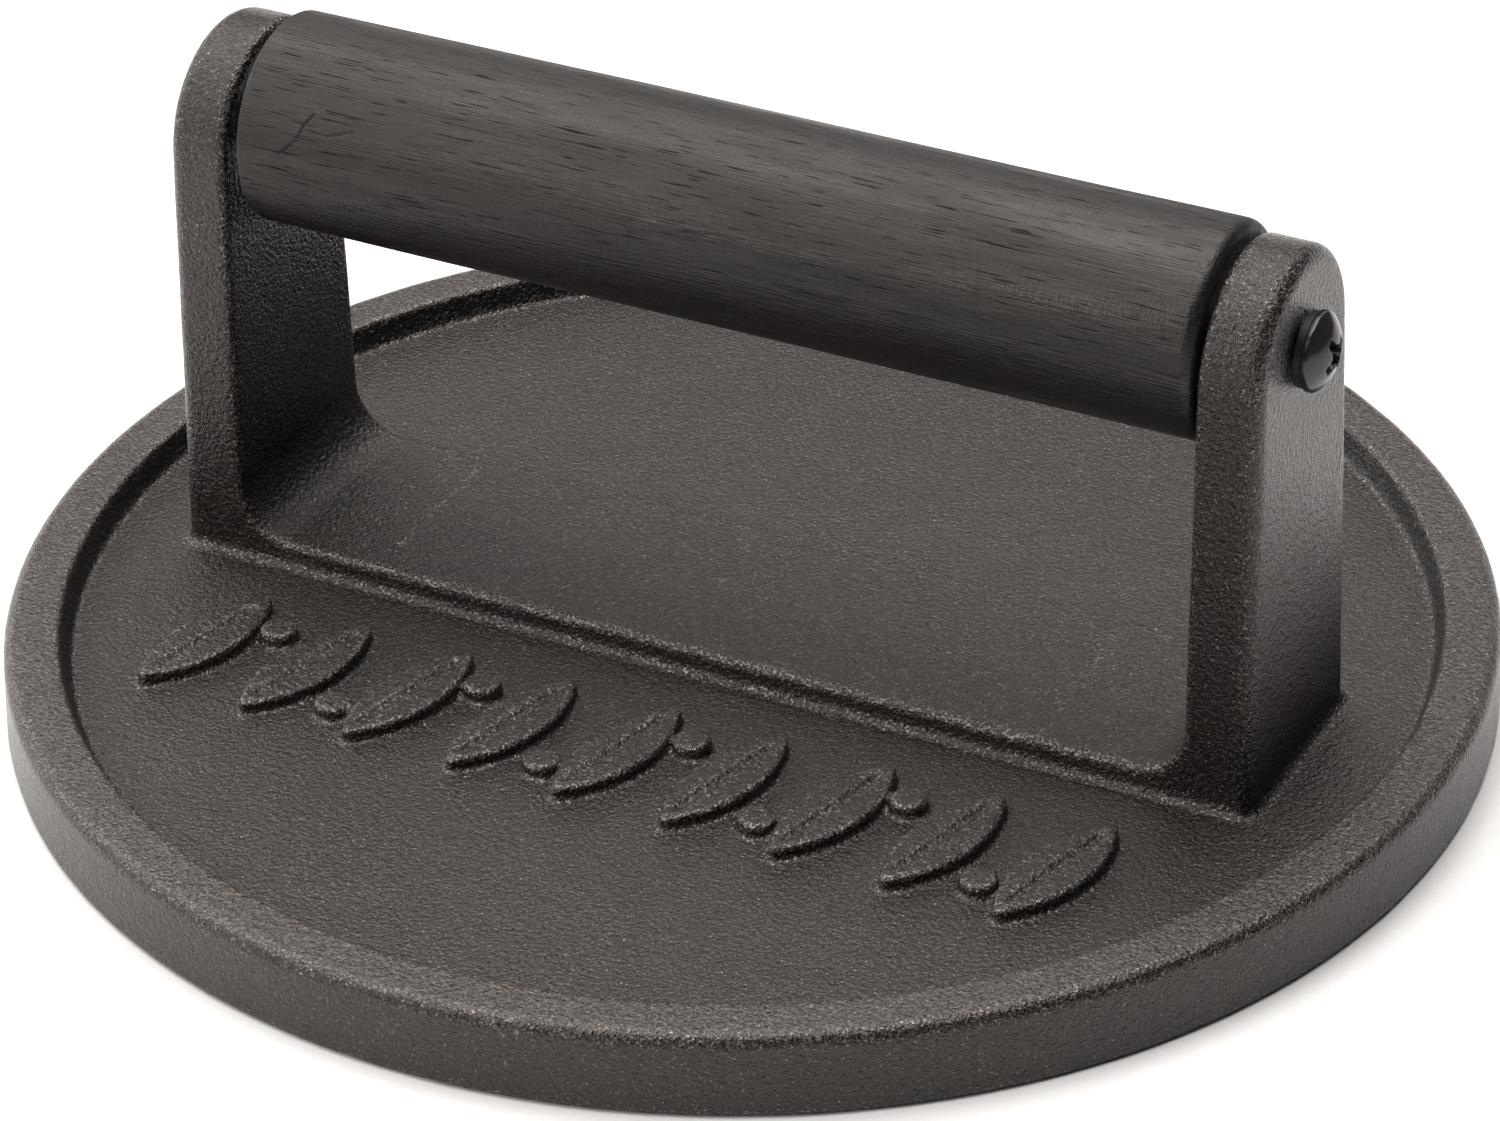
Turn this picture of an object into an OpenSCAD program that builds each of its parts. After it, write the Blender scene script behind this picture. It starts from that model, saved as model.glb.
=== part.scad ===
// Round cast-iron grill press: a heavy plate with a raised rim, two cast posts and a
// turned wooden grip that is held between the posts by a tie bar and two machine screws.
// Frame: origin at the centre of the flat underside, +Z up, +X along the grip,
// -Y towards the decorated side of the plate. Millimetres.

/* [Plate] */
// Diameter of the plate at its underside
plate_d = 165; // [150:1:190]
// Thickness of the plate, underside to the top of the rim
plate_t = 9.6; // [8.5:0.1:12]
// Radius lost between the underside and the top of the side wall (casting draft)
side_draft = 0.3; // [0:0.1:1]
// Radius of the rounded upper edge
top_edge_r = 1.5; // [0.8:0.1:2.2]
// Chamfer around the underside
foot_chamfer = 0.6; // [0.3:0.1:1.2]
// Width of the raised rim, side wall to recess
rim_w = 6.3; // [5:0.1:9]
// Depth of the recess inside the rim
recess_depth = 3.1; // [2:0.1:4]
// Horizontal run of the sloped wall of the recess
recess_run = 1.2; // [0.5:0.1:2]

/* [Posts] */
// Distance between the inner faces of the posts
post_gap = 114.4; // [100:0.2:124]
// Thickness of a post where it stands on the plate
post_t = 7.9; // [6:0.1:9]
// Half width of a post at the middle of its round head
post_half_w = 12; // [10:0.1:13]
// Distance of the middle of the head below the grip's axis
head_drop = 1.4; // [0:0.1:2]
// Lean of a post's front and back faces, in degrees
post_lean = 1.5; // [1:0.1:4]
// Lean of a post's outer face, in degrees
face_lean = 0.8; // [0:0.1:1.5]
// Corner radius of a post towards the outside of the press
outer_arris_r = 1.8; // [1:0.1:2.8]
// Corner radius of a post towards the grip
inner_arris_r = 0.9; // [0.5:0.1:2]
// Fillet between a post's inner face and the pad
crotch_r = 6; // [3:0.5:8]
// Fillet where the pad and the posts meet the recess floor
root_r = 1.5; // [0.8:0.1:2]
// Height of the pad between the posts above the recess floor
pad_h = 3; // [2:0.1:4]

/* [Grip] */
// Height of the grip's axis above the underside
axis_z = 56.4; // [50:0.2:64]
// Diameter of the wooden grip
grip_d = 23.8; // [20:0.2:26]
// Space between the -X end of the grip and its post
gap_left = 1.5; // [0.4:0.1:2]
// Space between the +X end of the grip and its post
gap_right = 0.5; // [0.4:0.1:2]
// Chamfer at the +X end of the grip
chamfer_right = 1.6; // [0.4:0.1:3]
// Chamfer at the -X end of the grip
chamfer_left = 0.5; // [0.3:0.1:3]
// Diameter of the steel tie bar that the grip turns on
bar_d = 8; // [7:0.5:10]
// Radial running clearance between the grip and the tie bar
running_fit = 0.08; // [0.03:0.01:0.1]

/* [Screws] */
// Nominal diameter of the machine screws
screw_d = 5; // [4:0.5:5]
// Length of a screw under its head
screw_len = 20; // [16:1:24]
// Diameter of the pan head
head_d = 8.7; // [8.5:0.1:10]
// Height of the pan head
head_h = 2.7; // [2.5:0.1:3.7]
// Thickness of the split lock washer
washer_t = 0.8; // [0.6:0.1:1.4]
// Outer diameter of the lock washer
washer_d = 8.2; // [8:0.1:8.6]
// Diameter of the clearance hole in each post
post_hole_d = 5.6; // [5.3:0.1:6]

/* [Relief] */
// Number of raised leaves in front of the pad
leaves = 9; // [5:1:9]
// Distance from leaf to leaf
leaf_pitch = 12.8; // [11:0.1:13]
// Length of a leaf
leaf_len = 20; // [14:0.5:21]
// Width of a leaf
leaf_w = 7.6; // [5:0.1:8]
// Slant of the leaves, in degrees
leaf_slant = 14; // [0:1:25]
// Distance of the row's middle in front of the grip's axis
leaf_row_y = 31.5; // [30:0.5:34]
// Height of the relief above the recess floor
relief_h = 1.6; // [0.8:0.1:2]
// Diameter of the round studs between the leaves
stud_d = 4.2; // [3:0.1:5]

/* [Hidden] */
$fn = 96;
iron = [0.25, 0.24, 0.23];
eps = 0.4;                                        // overlap that joins neighbouring solids
plate_r = plate_d / 2;
rim_top_r = plate_r - side_draft;                 // side wall radius carried up to the rim
rim_in_r = plate_r - rim_w;
floor_z = plate_t - recess_depth;
pad_top = floor_z + pad_h;
post_in = post_gap / 2;                           // x of a post's inner face
post_out = post_in + post_t;
head_z = axis_z - head_drop;                      // middle of a post's round head
foot_half_w = post_half_w + (head_z - floor_z) * tan(post_lean);
face_x = post_out - (axis_z - floor_z) * tan(face_lean);   // outer face at the axis
washer_gap = 0.09;                                // the cast face leans, the washer doesn't
head_x = face_x + washer_gap + washer_t;          // seat of a screw head
tapped_r = screw_d / 2 + 0.05;
tapped_len = head_x - screw_len;                  // x where a screw ends
leaf_arc_r = (leaf_len * leaf_len + leaf_w * leaf_w) / (4 * leaf_w);

// Plate: flat underside, drafted side wall, rounded upper edge, rim and sloped recess wall
module plate() {
    edge = [for (a = [0:15:90])
        [rim_top_r - top_edge_r * (1 - cos(a)), plate_t - top_edge_r * (1 - sin(a))]];
    rotate_extrude($fn = 180)
        polygon(concat(
            [[0, 0], [plate_r - foot_chamfer, 0], [plate_r, foot_chamfer]],
            edge,
            [[rim_in_r, plate_t], [rim_in_r - recess_run, floor_z], [0, floor_z]]));
}

// Bar end seen along its length: from 0 to len, its two far corners rounded
module rounded_end(len, a, b, r_a, r_b) {
    mid = (a + b) / 2;
    translate([0, a]) square([len - r_a, mid - a]);
    translate([0, mid]) square([len - r_b, b - mid]);
    translate([0, a + r_a]) square([len, b - a - r_a - r_b]);
    translate([len - r_a, a + r_a]) circle(r_a);
    translate([len - r_b, b - r_b]) circle(r_b);
}

// One half space of an upright between x = a and x = b: its +Y face leans by post_lean
module leaning_half(a, b, r_a, r_b) {
    reach = 40;
    translate([0, post_half_w, head_z]) rotate([post_lean, 0, 0])
        translate([0, -reach, -head_z]) linear_extrude(2 * head_z)
            mirror([1, -1, 0]) rounded_end(reach, a, b, r_a, r_b);
}

// Upright from z_low to z_high whose front and back faces lean towards each other
module upright(a, b, r_a, r_b, z_low, z_high) {
    intersection() {
        leaning_half(a, b, r_a, r_b);
        mirror([0, 1, 0]) leaning_half(a, b, r_a, r_b);
        translate([a - 1, -plate_r, z_low]) cube([b - a + 2, plate_d, z_high - z_low]);
    }
}

// Bar along X from a to b whose sides follow the leaning faces, set in by inset
module web(a, b, z_low, z_high, inset = 0) {
    low = post_half_w - inset + (head_z - z_low) * tan(post_lean);
    high = post_half_w - inset + (head_z - z_high) * tan(post_lean);
    translate([a, 0, 0]) rotate([90, 0, 90]) linear_extrude(b - a)
        polygon([[-low, z_low], [low, z_low], [high, z_high], [-high, z_high]]);
}

// Fillet that fills the corner between the pad and a post's inner face
module crotch() {
    sink = 0.02;                                  // starts the curve just inside the pad and post
    difference() {
        web(post_in - crotch_r, post_in + 1, pad_top - eps, pad_top + crotch_r, 0.06);
        translate([post_in - crotch_r + sink, plate_r, pad_top + crotch_r - sink])
            rotate([90, 0, 0]) cylinder(r = crotch_r, h = plate_d);
    }
}

// Right-hand post: shaft, half-round head, leaning outer face, hole on the grip's axis
module post() {
    head_r = post_half_w * cos(post_lean) + 0.03; // a hair proud, so it meets the faces cleanly
    difference() {
        union() {
            upright(post_in, post_out, inner_arris_r, outer_arris_r,
                    floor_z - eps, head_z + head_r * sin(post_lean));
            translate([0, 0, head_z]) rotate([0, 90, 0]) rotate_extrude()
                rounded_end(head_r, post_in, post_out, inner_arris_r, outer_arris_r);
            crotch();
        }
        translate([face_x, -plate_r, axis_z]) rotate([0, -face_lean, 0])
            translate([0, 0, -axis_z]) cube([10, plate_d, 2 * axis_z]);
        translate([0, 0, axis_z]) rotate([0, 90, 0])
            cylinder(d = post_hole_d, h = plate_r);
    }
}

// Outline of a concave fillet in the corner of a wall at u < 0 and a floor at v < 0
module cove() {
    polygon(concat(
        [[-eps, root_r], [-eps, -eps], [root_r, -eps]],
        [for (a = [0:18:90]) [root_r * (1 - sin(a)), root_r * (1 - cos(a))]]));
}

// Fillet around the foot of the pad and the posts, one quarter of the footprint
module root_quarter() {
    corner_x = post_out - outer_arris_r;
    corner_y = foot_half_w - outer_arris_r;
    translate([0, 0, floor_z]) {
        translate([corner_x, corner_y, 0]) rotate_extrude(angle = 90)
            translate([outer_arris_r, 0]) cove();
        translate([post_out, corner_y, 0]) rotate([90, 0, 0]) linear_extrude(corner_y) cove();
        translate([0, foot_half_w, 0]) rotate([90, 0, 90]) linear_extrude(corner_x) cove();
    }
}

// One raised leaf lying on the recess floor, pointed at both ends
module leaf() {
    off = leaf_arc_r - leaf_w / 2;
    rotate(-leaf_slant) linear_extrude(relief_h + eps) intersection() {
        translate([off, 0]) circle(leaf_arc_r, $fn = 180);
        translate([-off, 0]) circle(leaf_arc_r, $fn = 180);
    }
}

// Row of leaves with a round stud between each two
module relief() {
    first = -(leaves - 1) / 2 * leaf_pitch;
    translate([0, -leaf_row_y, floor_z - eps]) {
        for (i = [0:leaves - 1]) translate([first + i * leaf_pitch, 0, 0]) leaf();
        for (i = [0:leaves - 2])
            translate([first + (i + 0.5) * leaf_pitch, (i % 2 == 0 ? 1 : -1) * leaf_len / 4, 0])
                cylinder(d = stud_d, h = relief_h + eps);
    }
}

// The casting: plate, pad, posts, root fillets and relief are one piece of iron
module casting() {
    color(iron) {
        plate();
        web(-post_in - 1, post_in + 1, floor_z - eps, pad_top);
        for (side = [0, 1]) mirror([side, 0, 0]) {
            post();
            root_quarter();
            mirror([0, 1, 0]) root_quarter();
        }
        relief();
    }
}

// Turned grip with a through bore, wider chamfer at its +X end, standing nearer the +X post
module wood_grip() {
    left = gap_left - post_in;
    right = post_in - gap_right;
    r = grip_d / 2;
    bore = bar_d / 2 + running_fit;
    color([0.16, 0.14, 0.13]) translate([0, 0, axis_z]) rotate([0, 90, 0])
        rotate_extrude($fn = 128) polygon([
            [bore, left], [r - chamfer_left, left], [r, left + chamfer_left],
            [r, right - chamfer_right], [r - chamfer_right, right], [bore, right]]);
}

// Steel bar between the posts, tapped at both ends
module tie_bar() {
    half = post_in - 0.1;
    color("silver") translate([0, 0, axis_z]) rotate([0, 90, 0]) difference() {
        translate([0, 0, -half]) cylinder(d = bar_d, h = 2 * half);
        for (side = [0, 1]) mirror([0, 0, side])
            translate([0, 0, tapped_len - 1]) cylinder(r = tapped_r, h = half);
    }
}

// Pan head with its cross recess, seated at z = 0 and rising to head_h
module pan_head() {
    lip = 0.7;                                    // straight part of the head's side
    dome_r = (pow(head_d / 2, 2) + pow(head_h - lip, 2)) / (2 * (head_h - lip));
    wing = 1.05;                                  // width of a recess wing
    difference() {
        intersection() {
            cylinder(d = head_d, h = head_h);
            translate([0, 0, head_h - dome_r]) sphere(dome_r, $fn = 128);
        }
        for (turn = [0, 90]) rotate(turn)
            translate([-head_d / 4, -wing / 2, head_h - 1.9]) cube([head_d / 2, wing, 2]);
        translate([0, 0, head_h - 2.1]) cylinder(r1 = 0.6, r2 = 1.5, h = 2.2);
    }
}

// Right-hand machine screw along +X
module screw() {
    color([0.08, 0.08, 0.08]) translate([head_x, 0, axis_z]) rotate([0, 90, 0]) {
        rotate(31) pan_head();
        translate([0, 0, -screw_len]) cylinder(d = screw_d, h = screw_len + eps);
    }
}

// Right-hand split lock washer under the screw head
module lock_washer() {
    slot = 0.9;                                   // width of the split
    color([0.12, 0.12, 0.12]) translate([face_x + washer_gap, 0, axis_z]) rotate([0, 90, 0])
        difference() {
            cylinder(d = washer_d, h = washer_t);
            translate([0, 0, -1]) cylinder(d = screw_d + 0.3, h = washer_t + 2);
            rotate(45) translate([0, -slot / 2, -1]) cube([washer_d, slot, washer_t + 2]);
        }
}

module screw_right() screw();
module screw_left() mirror([1, 0, 0]) screw();
module lock_washer_right() lock_washer();
module lock_washer_left() mirror([1, 0, 0]) lock_washer();

casting();
wood_grip();
tie_bar();
screw_left();
screw_right();
lock_washer_left();
lock_washer_right();
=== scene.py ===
"""Round cast-iron grill press with a stained wooden grip, dressed around its CAD frame."""

import math
from itertools import product

import bpy
import numpy as np
from mathutils import Matrix, Vector


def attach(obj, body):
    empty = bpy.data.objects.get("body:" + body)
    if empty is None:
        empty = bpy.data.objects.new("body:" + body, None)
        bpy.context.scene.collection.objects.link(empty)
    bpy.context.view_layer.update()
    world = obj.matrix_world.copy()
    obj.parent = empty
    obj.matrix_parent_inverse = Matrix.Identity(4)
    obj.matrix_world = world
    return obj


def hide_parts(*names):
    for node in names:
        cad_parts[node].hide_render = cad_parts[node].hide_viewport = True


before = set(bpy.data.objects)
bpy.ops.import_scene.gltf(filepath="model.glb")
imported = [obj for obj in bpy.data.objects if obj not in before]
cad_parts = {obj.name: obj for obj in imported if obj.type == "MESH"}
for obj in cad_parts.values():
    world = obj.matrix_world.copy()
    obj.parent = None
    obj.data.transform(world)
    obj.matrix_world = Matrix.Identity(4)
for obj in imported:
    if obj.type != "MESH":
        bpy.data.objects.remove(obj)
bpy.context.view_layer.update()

MM = 0.001

# Plate, millimetres
PLATE_R = 82.38
SIDE_DRAFT = 0.3
PLATE_T = 9.58
RIM_IN_R = 76.1
RECESS_RUN = 1.2
FLOOR_Z = 6.5
EDGE_R = 1.5
FOOT_R = 0.7

# Pad and posts
PAD_TOP = 9.5
POST_IN = 57.2
POST_OUT = 65.05
POST_HALF_W = 11.98
AXIS_Z = 56.4
HEAD_Z = 55.0
POST_LEAN = math.radians(1.5)
FACE_LEAN = math.radians(0.8)
CROTCH_R = 6.0
ROOT_R = 1.2
HOLE_R = 2.3
OUTLINE_ARRIS_R = 0.9
OUTER_ARRIS_R = 1.8

# Relief
LEAVES = 9
LEAF_PITCH = 12.8
LEAF_LEN = 20.0
LEAF_W = 7.6
LEAF_SLANT = math.radians(14)
LEAF_ROW_Y = -31.5
RELIEF_H = 1.6
STUD_R = 2.1
VEIN_W = 0.8
VEIN_DEPTH = 0.4

# Grip
GRIP_R = 11.78
GRIP_LEFT = -55.7
GRIP_RIGHT = 56.7
BORE_R = 4.08

# Screws
HEAD_X = 65.293
HEAD_R = 4.33
HEAD_H = 2.55
LIP = 0.7
SCREW_LEN = 20.0

# Colour of the lamps
LAMP_TONE = (1.0, 0.96, 0.935)

rng = np.random.default_rng(11)
NOISE_N = 32
NOISE = rng.random((NOISE_N, NOISE_N, NOISE_N)) * 2 - 1


def noise(p, size):
    """Smooth value noise in -1..1 at points p (n, 3), with features about size long."""
    q = p / size
    cell = np.floor(q).astype(np.int64)
    f = q - cell
    f = f * f * (3 - 2 * f)
    total = np.zeros(len(p))
    for corner in product((0, 1), repeat=3):
        i, j, k = ((cell + corner) % NOISE_N).T
        w = np.ones(len(p))
        for axis in range(3):
            w = w * (f[:, axis] if corner[axis] else 1 - f[:, axis])
        total += w * NOISE[i, j, k]
    return total


def round_cut(a, b, r):
    """Common part of two solids, its convex edge rounded to radius r."""
    return np.minimum(-r, np.maximum(a, b)) + np.hypot(
        np.maximum(r + a, 0), np.maximum(r + b, 0)
    )


def round_join(a, b, r):
    """Union of two solids with a concave fillet of radius r."""
    return np.maximum(r, np.minimum(a, b)) - np.hypot(
        np.maximum(r - a, 0), np.maximum(r - b, 0)
    )


def relief_outline(x, y):
    """Distances in plan to the nearest leaf or stud, and to the vein of that leaf."""
    last = (LEAVES - 1) / 2
    turn = np.clip(np.round(x / LEAF_PITCH), -last, last)
    u = x - turn * LEAF_PITCH
    v = y - LEAF_ROW_Y
    c, s = math.cos(LEAF_SLANT), math.sin(LEAF_SLANT)
    across = np.abs(u * c - v * s)
    along = np.abs(u * s + v * c)
    tip_r = 0.7
    half_len = LEAF_LEN / 2 - tip_r
    half_w = LEAF_W / 2 - tip_r
    arc_r = (half_len * half_len + half_w * half_w) / (2 * half_w)
    off = arc_r - half_w
    tip = np.hypot(across, along - half_len)
    side = np.hypot(across + off, along) - arc_r
    past_tip = (along - half_len) * off > across * half_len
    leaf = np.where(past_tip, tip, side) - tip_r
    gap = np.clip(np.floor(x / LEAF_PITCH), -last, last - 1)
    sign = np.where(np.mod(gap + last, 2) == 0, 1, -1)
    stud = np.hypot(x - (gap + 0.5) * LEAF_PITCH, v - sign * LEAF_LEN / 4) - STUD_R
    vein = np.hypot(across, np.maximum(along - half_len + 2.0, 0)) - VEIN_W / 2
    return np.minimum(leaf, stud), vein


def casting_field(x, y, z):
    """Signed distance, in millimetres, to the one-piece casting."""
    rho = np.hypot(x, y)
    wall = rho - PLATE_R + SIDE_DRAFT * z / PLATE_T
    body = round_cut(round_cut(wall, z - PLATE_T, EDGE_R), -z, FOOT_R)
    recess_slope = RECESS_RUN / (PLATE_T - FLOOR_Z)
    inner = (rho - RIM_IN_R + (PLATE_T - z) * recess_slope) / math.hypot(1, recess_slope)
    recess = round_cut(inner, FLOOR_Z - z, 0.3)
    solid = round_cut(body, -recess, 0.2)

    outline, vein = relief_outline(x, y)
    leaves = round_cut(outline, z - FLOOR_Z - RELIEF_H, 0.5)
    groove = np.maximum(vein, FLOOR_Z + RELIEF_H - VEIN_DEPTH - z)
    leaves = round_cut(leaves, -groove, 0.35)
    leaves = np.maximum(leaves, FLOOR_Z - 2 - z)
    solid = round_join(solid, leaves, 0.45)

    up = z - HEAD_Z
    head_r = POST_HALF_W * math.cos(POST_LEAN)
    ay = np.abs(y)
    side = ay * math.cos(POST_LEAN) + up * math.sin(POST_LEAN) - head_r
    above = up * math.cos(POST_LEAN) - ay * math.sin(POST_LEAN) > 0
    outline = np.where(above, np.hypot(ay, up) - head_r, side)
    ax = np.abs(x)
    yoke = round_join(z - PAD_TOP, POST_IN - ax, CROTCH_R)
    yoke = round_cut(yoke, outline, OUTLINE_ARRIS_R)
    outer = (ax - POST_OUT + (z - FLOOR_Z) * math.tan(FACE_LEAN)) * math.cos(FACE_LEAN)
    yoke = round_cut(yoke, outer, OUTER_ARRIS_R)
    yoke = np.maximum(yoke, 3 - z)
    hole = np.maximum(HOLE_R - np.hypot(y, z - AXIS_Z), 40 - ax)
    yoke = np.maximum(yoke, np.where(ax > 40, hole, -9))
    return round_join(solid, yoke, ROOT_R)


def net(field, step, low, high, boxes):
    """Quads around the zero surface of field, on a lattice of the given step."""
    axes = [np.arange(low[k], high[k] + step, step) for k in range(3)]
    value = np.full([len(a) for a in axes], 9.0, np.float32)
    for box_low, box_high in boxes:
        cut = []
        for k in range(3):
            cut.append(slice(*np.searchsorted(axes[k], (box_low[k], box_high[k]))))
        gx = axes[0][cut[0]].astype(np.float32)[:, None, None]
        gy = axes[1][cut[1]].astype(np.float32)[None, :, None]
        gz = axes[2][cut[2]].astype(np.float32)[None, None, :]
        value[tuple(cut)] = field(gx, gy, gz)
    inside = value < 0
    count = np.zeros([n - 1 for n in inside.shape], np.int8)
    for shift in product((0, 1), repeat=3):
        window = [slice(s, n - 1 + s) for s, n in zip(shift, inside.shape)]
        count += inside[tuple(window)]
    live = (count > 0) & (count < 8)
    number = np.full(live.shape, -1, np.int32)
    number[live] = np.arange(live.sum())
    points = np.array(low) + (np.argwhere(live) + 0.5) * step
    quads = []
    for axis in range(3):
        du = np.eye(3, dtype=int)[(axis + 1) % 3]
        dv = np.eye(3, dtype=int)[(axis + 2) % 3]
        lower = inside.take(range(inside.shape[axis] - 1), axis)
        upper = inside.take(range(1, inside.shape[axis]), axis)
        hit = np.argwhere(lower != upper)
        ring = (hit - du - dv, hit - dv, hit, hit - du)
        quad = np.stack([number[tuple(c.T)] for c in ring], 1)
        back = ~lower[tuple(hit.T)]
        quad[back] = quad[back][:, ::-1]
        quads.append(quad)
    return points, np.concatenate(quads)


def gradient(field, p, reach=0.04):
    """Slope of field at points p."""
    slope = np.empty_like(p)
    for k in range(3):
        d = np.eye(3)[k] * reach
        slope[:, k] = field(*(p + d).T) - field(*(p - d).T)
    return slope / (2 * reach)


def settle(field, p, rounds):
    """Moves points p on to the zero surface of field."""
    for _ in range(rounds):
        g = gradient(field, p)
        p = p - (field(*p.T) / np.maximum((g * g).sum(1), 0.25))[:, None] * g
    return p


def relax(p, quads):
    """Mean of each point's neighbours."""
    ahead = np.roll(quads, -1, axis=1)
    i = np.concatenate([quads.ravel(), ahead.ravel()])
    j = np.concatenate([ahead.ravel(), quads.ravel()])
    n = np.bincount(i, minlength=len(p))
    return np.stack([np.bincount(i, p[j, k], len(p)) / n for k in range(3)], 1)


def curvature(field, p, reach):
    """How convex (+) or hollow (-) the surface is at p, per millimetre."""
    total = -6 * field(*p.T)
    for k in range(3):
        d = np.eye(3)[k] * reach
        total += field(*(p + d).T) + field(*(p - d).T)
    return total / reach**2


def surface(field, step, low, high, boxes):
    """Evenly spread points and quads on the zero surface of field."""
    p, quads = net(field, step, low, high, boxes)
    p = settle(field, p, 2)
    for _ in range(3):
        p = settle(field, relax(p, quads), 1)
    return settle(field, p, 1), quads


def make_object(name, points, faces):
    """Mesh object from points in millimetres."""
    mesh = bpy.data.meshes.new(name)
    mesh.vertices.add(len(points))
    mesh.vertices.foreach_set("co", (np.asarray(points) * MM).astype(np.float32).ravel())
    faces = np.asarray(faces, np.int32)
    n, k = faces.shape
    mesh.loops.add(n * k)
    mesh.loops.foreach_set("vertex_index", faces.ravel())
    mesh.polygons.add(n)
    mesh.polygons.foreach_set("loop_start", np.arange(0, n * k, k, dtype=np.int32))
    mesh.update(calc_edges=True)
    mesh.shade_smooth()
    obj = bpy.data.objects.new(name, mesh)
    bpy.context.scene.collection.objects.link(obj)
    return obj


def thin_out(obj, triangles):
    """Collapses edges, flat ground first, until about that many triangles are left."""
    have = sum(len(f.vertices) - 2 for f in obj.data.polygons)
    if have <= triangles:
        return
    mod = obj.modifiers.new("thin", "DECIMATE")
    mod.ratio = triangles / have
    bpy.context.view_layer.update()
    graph = bpy.context.evaluated_depsgraph_get()
    lean = bpy.data.meshes.new_from_object(obj.evaluated_get(graph))
    obj.modifiers.clear()
    obj.data = lean
    lean.shade_smooth()


def points_of(obj):
    """Vertex places of a mesh object, in millimetres."""
    p = np.empty(len(obj.data.vertices) * 3)
    obj.data.vertices.foreach_get("co", p)
    return p.reshape(-1, 3) / MM


def set_attribute(obj, name, values):
    """Stores one number per vertex."""
    layer = obj.data.attributes.new(name, "FLOAT", "POINT")
    layer.data.foreach_set("value", np.asarray(values, np.float32))


def make_casting():
    """Plate, pad, posts, fillets and relief as one cast body."""
    step = 0.5
    boxes = [((-84, -84, -1.5), (84, 84, 17))]
    for s in (-1, 1):
        boxes.append(((s * 61 - 6, -15, 16), (s * 61 + 6, 15, 68)))
    p, quads = surface(casting_field, step, (-84, -84, -1.5), (84, 84, 69), boxes)
    g = gradient(casting_field, p)
    normal = g / np.linalg.norm(g, axis=1)[:, None]
    rough = 0.035 * noise(p, 7.0) + 0.022 * noise(p + 40, 2.6) + 0.012 * noise(p + 90, 1.3)
    calm = np.where(p[:, 2] < 0.3, 0.0, 1.0)
    near_wall = np.abs(np.hypot(p[:, 0], p[:, 1]) - RIM_IN_R + RECESS_RUN / 2) < 1.4
    calm = np.where(near_wall & (p[:, 2] > 5) & (p[:, 2] < 9.3), 0.3, calm)
    p = p + normal * (rough * calm)[:, None]
    p[:, 2] = np.maximum(p[:, 2], 0.0)
    obj = make_object("casting_body", p, quads)
    thin_out(obj, 196000)
    bend = curvature(casting_field, points_of(obj), 0.6)
    set_attribute(obj, "worn", np.clip(bend * 0.9, 0, 1))
    set_attribute(obj, "hollow", np.clip(-bend * 0.9, 0, 1))
    q = points_of(obj)
    rho = np.hypot(q[:, 0], q[:, 1])
    # Mask for the rim top, which is coloured lighter than the dish floor.
    on_rim = np.clip((rho - RIM_IN_R + 0.6) / 0.8, 0, 1) * np.clip((q[:, 2] - 9.1) / 0.3, 0, 1)
    set_attribute(obj, "rim_top_lighter", on_rim)
    # Mask for the painted shade on the dish's inner wall.
    wall_shade_mask = np.clip(1.6 - np.abs(rho - RIM_IN_R + 0.6), 0, 1) * np.clip((q[:, 2] - 6.7) / 0.4, 0, 1)
    set_attribute(obj, "wall", wall_shade_mask * np.clip((9.3 - q[:, 2]) / 0.3, 0, 1))
    in_dish = np.clip((RIM_IN_R - rho) / 1.5, 0, 1) * np.clip((12 - q[:, 2]) / 2, 0, 1)
    set_attribute(obj, "dry", in_dish * np.clip((q[:, 2] - 4) / 1, 0, 1))
    return obj


def revolve(profile, angles, bulge):
    """Closed tube about the X axis from (x, r) points; bulge(x, angle, r) adds to r."""
    rows = len(profile)
    cols = len(angles)
    x = np.repeat(profile[:, 0], cols)
    r = np.repeat(profile[:, 1], cols)
    a = np.tile(angles, rows)
    r = r + bulge(x, a, r)
    p = np.stack([x, -r * np.sin(a), r * np.cos(a)], 1)
    i, j = np.meshgrid(np.arange(rows), np.arange(cols), indexing="ij")
    i2 = (i + 1) % rows
    j2 = (j + 1) % cols
    quads = np.stack([i * cols + j, i2 * cols + j, i2 * cols + j2, i * cols + j2], -1)
    return p, quads.reshape(-1, 4)


def arc(cx, cr, radius, start, end, n):
    """Points of an arc in the (x, r) plane, degrees."""
    a = np.radians(np.linspace(start, end, n))
    return np.stack([cx + radius * np.cos(a), cr + radius * np.sin(a)], 1)


def line(x0, r0, x1, r1, n):
    """Evenly spaced points on a line, without its ends."""
    t = np.linspace(0, 1, n + 2)[1:-1]
    return np.stack([x0 + (x1 - x0) * t, r0 + (r1 - r0) * t], 1)


def crack_distance(x, s):
    """Distance from (x, s) to the small split near the grip's left end."""
    path = [(-50.0, 0.5), (-48.0, 2.5), (-47.5, 4.0), (-46.5, 5.5)]
    twig = [(-44.5, 3.5), (-43.0, 4.0), (-41.5, 4.5)]
    best = np.full(np.shape(x), 99.0)
    for chain in (path, twig):
        for (x0, s0), (x1, s1) in zip(chain, chain[1:]):
            dx, ds = x1 - x0, s1 - s0
            t = np.clip(((x - x0) * dx + (s - s0) * ds) / (dx * dx + ds * ds), 0, 1)
            best = np.minimum(best, np.hypot(x - x0 - t * dx, s - s0 - t * ds))
    return best


CRACK_ANGLE = math.radians(82)


def grip_bulge(x, a, r):
    """Hand-sanded unevenness of the grip, and the split near its left end."""
    ring = np.stack([x / 3.2, 11 * np.sin(a), 11 * np.cos(a)], 1)
    body = np.clip((r - 9.5) / 2, 0, 1)
    wave = 0.07 * noise(ring, 9.0) + 0.03 * noise(ring + 20, 4.0)
    split = crack_distance(x, (CRACK_ANGLE - a) * GRIP_R)
    return body * (wave - 0.20 * np.exp(-((split / 0.10) ** 2)))


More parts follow.
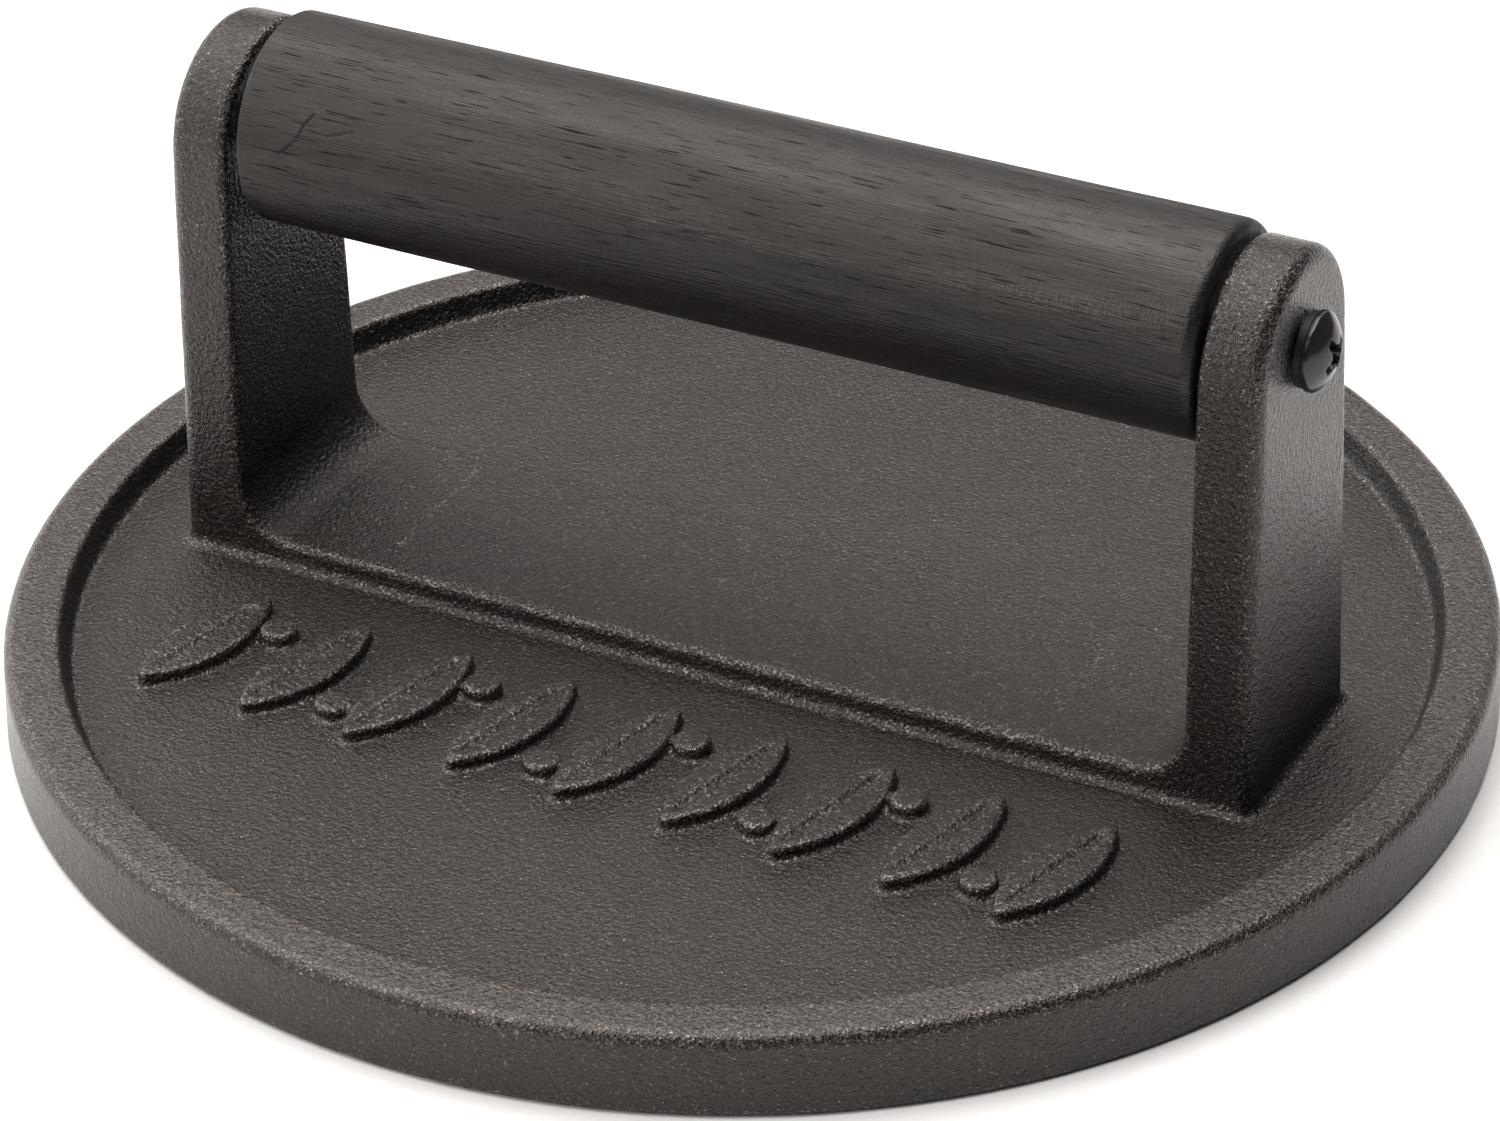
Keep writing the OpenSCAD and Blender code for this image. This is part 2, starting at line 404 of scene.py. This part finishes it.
def make_grip():
    """Wooden grip: bored tube with an almost sharp left end and a softened right end."""
    left_r, right_r = 0.5, 1.5
    dense_end = -40.0
    fine = np.arange(GRIP_LEFT + left_r, dense_end, 0.16)
    body = np.arange(fine[-1] + 0.5, GRIP_RIGHT - right_r - 0.2, 0.8)
    run = np.concatenate([fine, body])
    rows = [
        line(GRIP_LEFT, BORE_R, GRIP_LEFT, GRIP_R - left_r, 8),
        arc(GRIP_LEFT + left_r, GRIP_R - left_r, left_r, 180, 90, 6)[:-1],
        np.stack([run, np.full(len(run), GRIP_R)], 1),
        arc(GRIP_RIGHT - right_r, GRIP_R - right_r, right_r, 90, 0, 9),
        line(GRIP_RIGHT, GRIP_R - right_r, GRIP_RIGHT, BORE_R, 8),
        line(GRIP_RIGHT, BORE_R, GRIP_LEFT, BORE_R, 12),
    ]
    profile = np.concatenate(rows)
    near = np.radians(np.arange(48, 88, 0.8))
    far = np.radians(np.arange(88, 408, 2.0))
    p, quads = revolve(profile, np.concatenate([near, far]), grip_bulge)
    p[:, 2] += AXIS_Z
    obj = make_object("grip_wood", p, quads[:, ::-1])
    angle = np.arctan2(-p[:, 1], p[:, 2] - AXIS_Z)
    split = crack_distance(p[:, 0], (CRACK_ANGLE - angle) * GRIP_R)
    set_attribute(obj, "split", np.exp(-((split / 0.10) ** 2)))
    return obj


def screw_field(x, y, z):
    """Signed distance to a screw on the X axis, its head's seat at x = 0."""
    r = np.hypot(y, z)
    dome_r = (HEAD_R**2 + (HEAD_H - LIP) ** 2) / (2 * (HEAD_H - LIP))
    dome = np.sqrt(r * r + (x - HEAD_H + dome_r) ** 2) - dome_r
    head = round_cut(round_cut(r - HEAD_R, dome, 0.12), -x, 0.15)
    deep = HEAD_H - 1.9 - x
    taper = 0.16 * (HEAD_H - x)
    wing = np.minimum(
        np.maximum(np.abs(y) - 0.58 + taper, np.abs(z) - 2.3 + 2 * taper),
        np.maximum(np.abs(z) - 0.58 + taper, np.abs(y) - 2.3 + 2 * taper),
    )
    cone = r - 1.25 + 0.55 * (HEAD_H - x)
    cross = round_cut(round_join(wing, cone, 0.3), deep, 0.2)
    head = round_cut(head, -cross, 0.12)
    turn = np.arctan2(z, y) / (2 * math.pi) + x / 0.7
    ridge = np.abs(np.mod(turn, 1) - 0.5) * 2
    shank = (r - 1.6 - 0.38 * ridge) * 0.7
    end = -SCREW_LEN - x
    shank = round_cut(np.maximum(shank, x - 0.5), end, 0.3)
    return np.minimum(head, shank)


def make_screws():
    """Both pan-head machine screws, alike and mirrored."""
    step = 0.17
    low = (-20.6, -5.1, -5.1)
    high = (3.6, 5.1, 5.1)
    p, quads = surface(screw_field, step, low, high, [(low, high)])
    g = gradient(screw_field, p, 0.03)
    normal = g / np.linalg.norm(g, axis=1)[:, None]
    made = []
    for name, side, turn in (("screw_body_right", 1, 31), ("screw_body_left", -1, 63)):
        spin = np.array(Matrix.Rotation(math.radians(turn), 3, "X"))
        place = p @ spin.T
        facing = normal @ spin.T
        faces = quads
        place[:, 0] += HEAD_X
        if side < 0:
            place[:, 0] *= -1
            facing[:, 0] *= -1
            faces = quads[:, ::-1]
        place[:, 2] += AXIS_Z
        obj = make_object(name, place, faces)
        obj.data.normals_split_custom_set_from_vertices(facing.astype(np.float32))
        made.append(obj)
    return made


class Nodes:
    """Small helper that adds and links shader nodes."""

    def __init__(self, name):
        self.material = bpy.data.materials.new(name)
        self.material.use_nodes = True
        self.tree = self.material.node_tree
        self.shader = self.tree.nodes["Principled BSDF"]

    def add(self, kind, **values):
        node = self.tree.nodes.new("ShaderNode" + kind)
        for key, value in values.items():
            if hasattr(node, key):
                setattr(node, key, value)
            else:
                node.inputs[key.replace("_", " ").title()].default_value = value
        return node

    def link(self, source, target):
        self.tree.links.new(source, target)

    def place(self, stretch=(1, 1, 1)):
        """Object coordinates, stretched."""
        coord = self.add("TexCoord")
        mapping = self.add("Mapping")
        mapping.inputs["Scale"].default_value = stretch
        self.link(coord.outputs["Object"], mapping.inputs["Vector"])
        return mapping.outputs["Vector"]

    def noise(self, place, scale, detail=2.0, roughness=0.5):
        node = self.add("TexNoise", scale=scale, detail=detail, roughness=roughness)
        self.link(place, node.inputs["Vector"])
        return node.outputs["Fac"]

    def ramp(self, factor, stops):
        """Colour ramp; stops are (position, grey or colour)."""
        node = self.add("ValToRGB")
        ends = node.color_ramp.elements
        while len(ends) < len(stops):
            ends.new(0.5)
        for element, (position, tone) in zip(ends, stops):
            element.position = position
            if not isinstance(tone, tuple):
                tone = (tone, tone, tone)
            element.color = (*tone, 1)
        self.link(factor, node.inputs["Fac"])
        return node.outputs["Color"]

    def mix(self, factor, a, b, blend="MIX"):
        node = self.add("Mix", data_type="RGBA", blend_type=blend)
        for value, key in ((factor, 0), (a, 6), (b, 7)):
            if isinstance(value, (int, float)):
                node.inputs[key].default_value = value
            elif isinstance(value, tuple):
                node.inputs[key].default_value = (*value, 1)
            else:
                self.link(value, node.inputs[key])
        return node.outputs[2]

    def math(self, operation, a, b, clamp=False):
        node = self.add("Math", operation=operation, use_clamp=clamp)
        for value, key in ((a, 0), (b, 1)):
            if isinstance(value, (int, float)):
                node.inputs[key].default_value = value
            else:
                self.link(value, node.inputs[key])
        return node.outputs[0]

    def attribute(self, name):
        return self.add("Attribute", attribute_name=name).outputs["Fac"]

    def bump(self, height, distance, strength=1.0, under=None):
        node = self.add("Bump")
        node.inputs["Strength"].default_value = strength
        node.inputs["Distance"].default_value = distance
        self.link(height, node.inputs["Height"])
        if under is not None:
            self.link(under, node.inputs["Normal"])
        return node.outputs["Normal"]

    def set(self, **values):
        for key, value in values.items():
            socket = self.shader.inputs[key.replace("_", " ")]
            if isinstance(value, (int, float)):
                socket.default_value = value
            else:
                self.link(value, socket)


def iron_material():
    """Seasoned sand-cast iron: sandy grain, warm mottling, a lighter rim top, worn edges, and painted
    shade on the dish's inner wall.
    """
    n = Nodes("cast_iron_seasoned")
    place = n.place()
    broad = n.noise(place, 34, 3, 0.55)
    patch = n.noise(place, 130, 3, 0.6)
    grain = n.noise(place, 3400, 2, 0.6)
    pebble = n.noise(place, 1800, 2, 0.55)
    tone = n.ramp(broad, [(0.32, (0.0064, 0.0050, 0.0044)), (0.68, (0.0092, 0.0071, 0.0061))])
    rusty = n.ramp(patch, [(0.45, 0.0), (0.75, 0.5)])
    tone = n.mix(rusty, tone, (0.0150, 0.0085, 0.0066))
    # Rim top coloured lighter than the dish floor.
    tone = n.mix(n.attribute("rim_top_lighter"), tone, (0.0360, 0.0300, 0.0265))
    speck = n.ramp(grain, [(0.38, 0.3), (0.62, 2.0)])
    tone = n.mix(1.0, tone, speck, "MULTIPLY")
    edge = n.math("MULTIPLY", n.attribute("worn"), 0.10)
    edge = n.math("ADD", edge, n.math("MULTIPLY", n.attribute("hollow"), 0.07))
    edge = n.math("ADD", edge, n.math("MULTIPLY", n.attribute("dry"), 0.03))
    glint = n.ramp(n.math("ADD", grain, edge), [(0.635, 0.0), (0.735, 0.9)])
    # Painted shade: the dish's inner wall is coloured dark bluish and kept free of glints.
    open_side = n.math("SUBTRACT", 1.0, n.attribute("wall"))
    glint = n.math("MULTIPLY", glint, open_side)
    tone = n.mix(n.attribute("wall"), tone, (0.0040, 0.0046, 0.0052))
    tone = n.mix(glint, tone, (0.24, 0.215, 0.20))
    rough = n.ramp(pebble, [(0.3, 0.15), (0.7, 0.28)])
    rough = n.math("ADD", rough, n.math("MULTIPLY", n.attribute("dry"), 0.12))
    low = n.bump(pebble, 0.00027, 1.0)
    high = n.bump(grain, 0.00015, 1.0, low)
    n.set(Base_Color=tone, Roughness=rough, Normal=high, Metallic=glint)
    n.shader.inputs["Specular IOR Level"].default_value = 0.5
    n.shader.inputs["Specular Tint"].default_value = (1.0, 0.96, 0.935, 1.0)
    return n.material


def wood_material():
    """Dark stained open-pored wood, satin, grain along the grip."""
    n = Nodes("stained_wood_dark")
    pores = n.noise(n.place((0.05, 1, 1)), 4200, 1, 0.5)
    fibre = n.noise(n.place((0.03, 1, 1)), 5200, 2, 0.6)
    bands = n.noise(n.place((0.06, 1, 1)), 420, 3, 0.55)
    sanding = n.noise(n.place((1, 0.14, 0.14)), 4600, 2, 0.6)
    cloud = n.noise(n.place((0.4, 1, 1)), 70, 2, 0.5)
    tone = n.ramp(bands, [(0.3, (0.0024, 0.0020, 0.0018)), (0.7, (0.0096, 0.0081, 0.0074))])
    patches = n.noise(n.place((0.16, 1, 1)), 300, 3, 0.6)
    dull = n.ramp(patches, [(0.36, 0.15), (0.62, 0.0)])
    warm = n.ramp(cloud, [(0.45, 0.0), (0.7, 0.5)])
    tone = n.mix(warm, tone, (0.0115, 0.0080, 0.0068))
    streak = n.ramp(fibre, [(0.35, 0.7), (0.65, 1.3)])
    tone = n.mix(1.0, tone, streak, "MULTIPLY")
    hatch = n.ramp(sanding, [(0.4, 0.75), (0.62, 1.4)])
    tone = n.mix(1.0, tone, hatch, "MULTIPLY")
    open_pore = n.ramp(pores, [(0.30, 1.0), (0.35, 0.0)])
    tone = n.mix(open_pore, tone, (0.003, 0.0025, 0.002))
    tone = n.mix(n.attribute("split"), tone, (0.002, 0.002, 0.002))
    rough = n.ramp(pores, [(0.30, 0.8), (0.36, 0.30)])
    rough = n.math("ADD", rough, n.ramp(bands, [(0.36, 0.16), (0.62, 0.0)]))
    rough = n.math("ADD", rough, dull)
    grain = n.bump(fibre, 0.00010, 0.6)
    scored = n.bump(sanding, 0.00010, 0.6, grain)
    pitted = n.bump(pores, 0.00012, 0.5, scored)
    n.set(Base_Color=tone, Roughness=rough, Normal=pitted)
    n.shader.inputs["Specular IOR Level"].default_value = 0.43
    n.shader.inputs["Specular Tint"].default_value = (1.0, 0.97, 0.95, 1.0)
    return n.material


def black_metal(name, tone, rough_low, rough_high):
    """Blackened steel with faint handling marks."""
    n = Nodes(name)
    place = n.place()
    marks = n.noise(place, 900, 3, 0.6)
    haze = n.noise(place, 300, 2, 0.5)
    colour = n.ramp(haze, [(0.3, tuple(0.75 * t for t in tone)), (0.7, tone)])
    rough = n.ramp(marks, [(0.35, rough_low), (0.75, rough_high)])
    n.set(Base_Color=colour, Roughness=rough, Normal=n.bump(marks, 0.00002, 0.3))
    return n.material


def steel_material():
    """Zinc-plated bar, drawn lengthwise."""
    n = Nodes("plated_steel_drawn")
    lines = n.noise(n.place((0.04, 1, 1)), 3000, 2, 0.5)
    tone = n.ramp(lines, [(0.3, (0.42, 0.42, 0.43)), (0.7, (0.6, 0.6, 0.6))])
    rough = n.ramp(lines, [(0.3, 0.28), (0.7, 0.42)])
    n.set(Base_Color=tone, Roughness=rough, Normal=n.bump(lines, 0.00002, 0.4))
    n.shader.inputs["Metallic"].default_value = 1.0
    return n.material


def floor_material():
    """Matt pale paper."""
    n = Nodes("pale_paper")
    fibre = n.noise(n.place(), 500, 2, 0.5)
    tone = n.ramp(fibre, [(0.3, 0.86), (0.7, 0.88)])
    n.set(Base_Color=tone, Roughness=0.9)
    return n.material


def make_camera():
    """Camera at the photograph's angle."""
    azimuth = math.radians(27.715)
    elevation = math.radians(32.09)
    roll = math.radians(-1.274)
    target = Vector((2.631, -5.147, 17.299)) * MM
    back = Vector(
        (
            math.sin(azimuth) * math.cos(elevation),
            -math.cos(azimuth) * math.cos(elevation),
            math.sin(elevation),
        )
    )
    flat_right = (-back).cross(Vector((0, 0, 1))).normalized()
    flat_up = flat_right.cross(-back)
    right = math.cos(roll) * flat_right + math.sin(roll) * flat_up
    up = math.cos(roll) * flat_up - math.sin(roll) * flat_right
    data = bpy.data.cameras.new("camera")
    data.sensor_width = 36.0
    data.lens = 142.30
    data.clip_start = 0.05
    data.clip_end = 20.0
    camera = bpy.data.objects.new("camera", data)
    bpy.context.scene.collection.objects.link(camera)
    axes = Matrix((right, up, back)).transposed()
    camera.matrix_world = Matrix.Translation(target + back * 644.05 * MM) @ axes.to_4x4()
    bpy.context.scene.camera = camera


def area_light(name, place, aim, size, power):
    """Soft rectangular light aimed at a point, metres and watts."""
    data = bpy.data.lights.new(name, "AREA")
    data.shape = "RECTANGLE"
    data.size, data.size_y = size
    data.energy = power
    data.color = LAMP_TONE
    light = bpy.data.objects.new(name, data)
    light.location = place
    light.rotation_mode = "QUATERNION"
    light.rotation_quaternion = (Vector(aim) - Vector(place)).to_track_quat("-Z", "Y")
    bpy.context.scene.collection.objects.link(light)


def make_stage():
    """Pale floor, white surroundings and soft lights."""
    size = 3.0
    mesh = bpy.data.meshes.new("floor")
    corners = [(-size, -size, 0), (size, -size, 0), (size, size, 0), (-size, size, 0)]
    mesh.from_pydata(corners, [], [(0, 1, 2, 3)])
    mesh.materials.append(floor_material())
    floor = bpy.data.objects.new("floor", mesh)
    bpy.context.scene.collection.objects.link(floor)
    floor.location.z = -0.0001
    world = bpy.data.worlds.new("studio")
    world.use_nodes = True
    world.node_tree.nodes["Background"].inputs["Color"].default_value = (1, 1, 1, 1)
    world.node_tree.nodes["Background"].inputs["Strength"].default_value = 0.05
    bpy.context.scene.world = world
    aim = (0, 0, 0.02)
    area_light("overhead", (-0.1, 0.15, 1.0), aim, (1.1, 1.0), 18.0)
    area_light("front", (-0.38, -0.62, 0.72), aim, (0.7, 0.5), 2.8)
    area_light("key", (-0.42, -0.78, 0.44), aim, (0.4, 0.2), 2.5)
    area_light("left", (-0.95, 0.05, 0.38), aim, (0.9, 0.4), 5.0)
    area_light("back", (-0.47, 0.90, 0.64), aim, (1.8, 1.0), 4.3)
    bpy.context.scene.view_settings.view_transform = "Standard"


def dress(obj, material, body, slot_name, *replaced):
    """Material, body and the CAD node the piece stands for; slot_name is not used."""
    obj.data.materials.clear()
    obj.data.materials.append(material)
    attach(obj, body)
    if replaced:
        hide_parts(*replaced)


make_camera()
make_stage()
dress(make_casting(), iron_material(), "press", "cast_iron", "casting")
dress(make_grip(), wood_material(), "grip", "stained_wood", "wood_grip")
screw_paint = black_metal("black_screw_gloss", (0.018, 0.018, 0.019), 0.14, 0.26)
screw_right, screw_left = make_screws()
dress(screw_right, screw_paint, "press", "black_screw", "screw_right")
dress(screw_left, screw_paint, "press", "black_screw", "screw_left")
washer_paint = black_metal("black_washer_satin", (0.02, 0.02, 0.02), 0.35, 0.5)
for node in ("lock_washer_left", "lock_washer_right"):
    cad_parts[node].data.materials[0] = washer_paint
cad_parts["tie_bar"].data.materials[0] = steel_material()
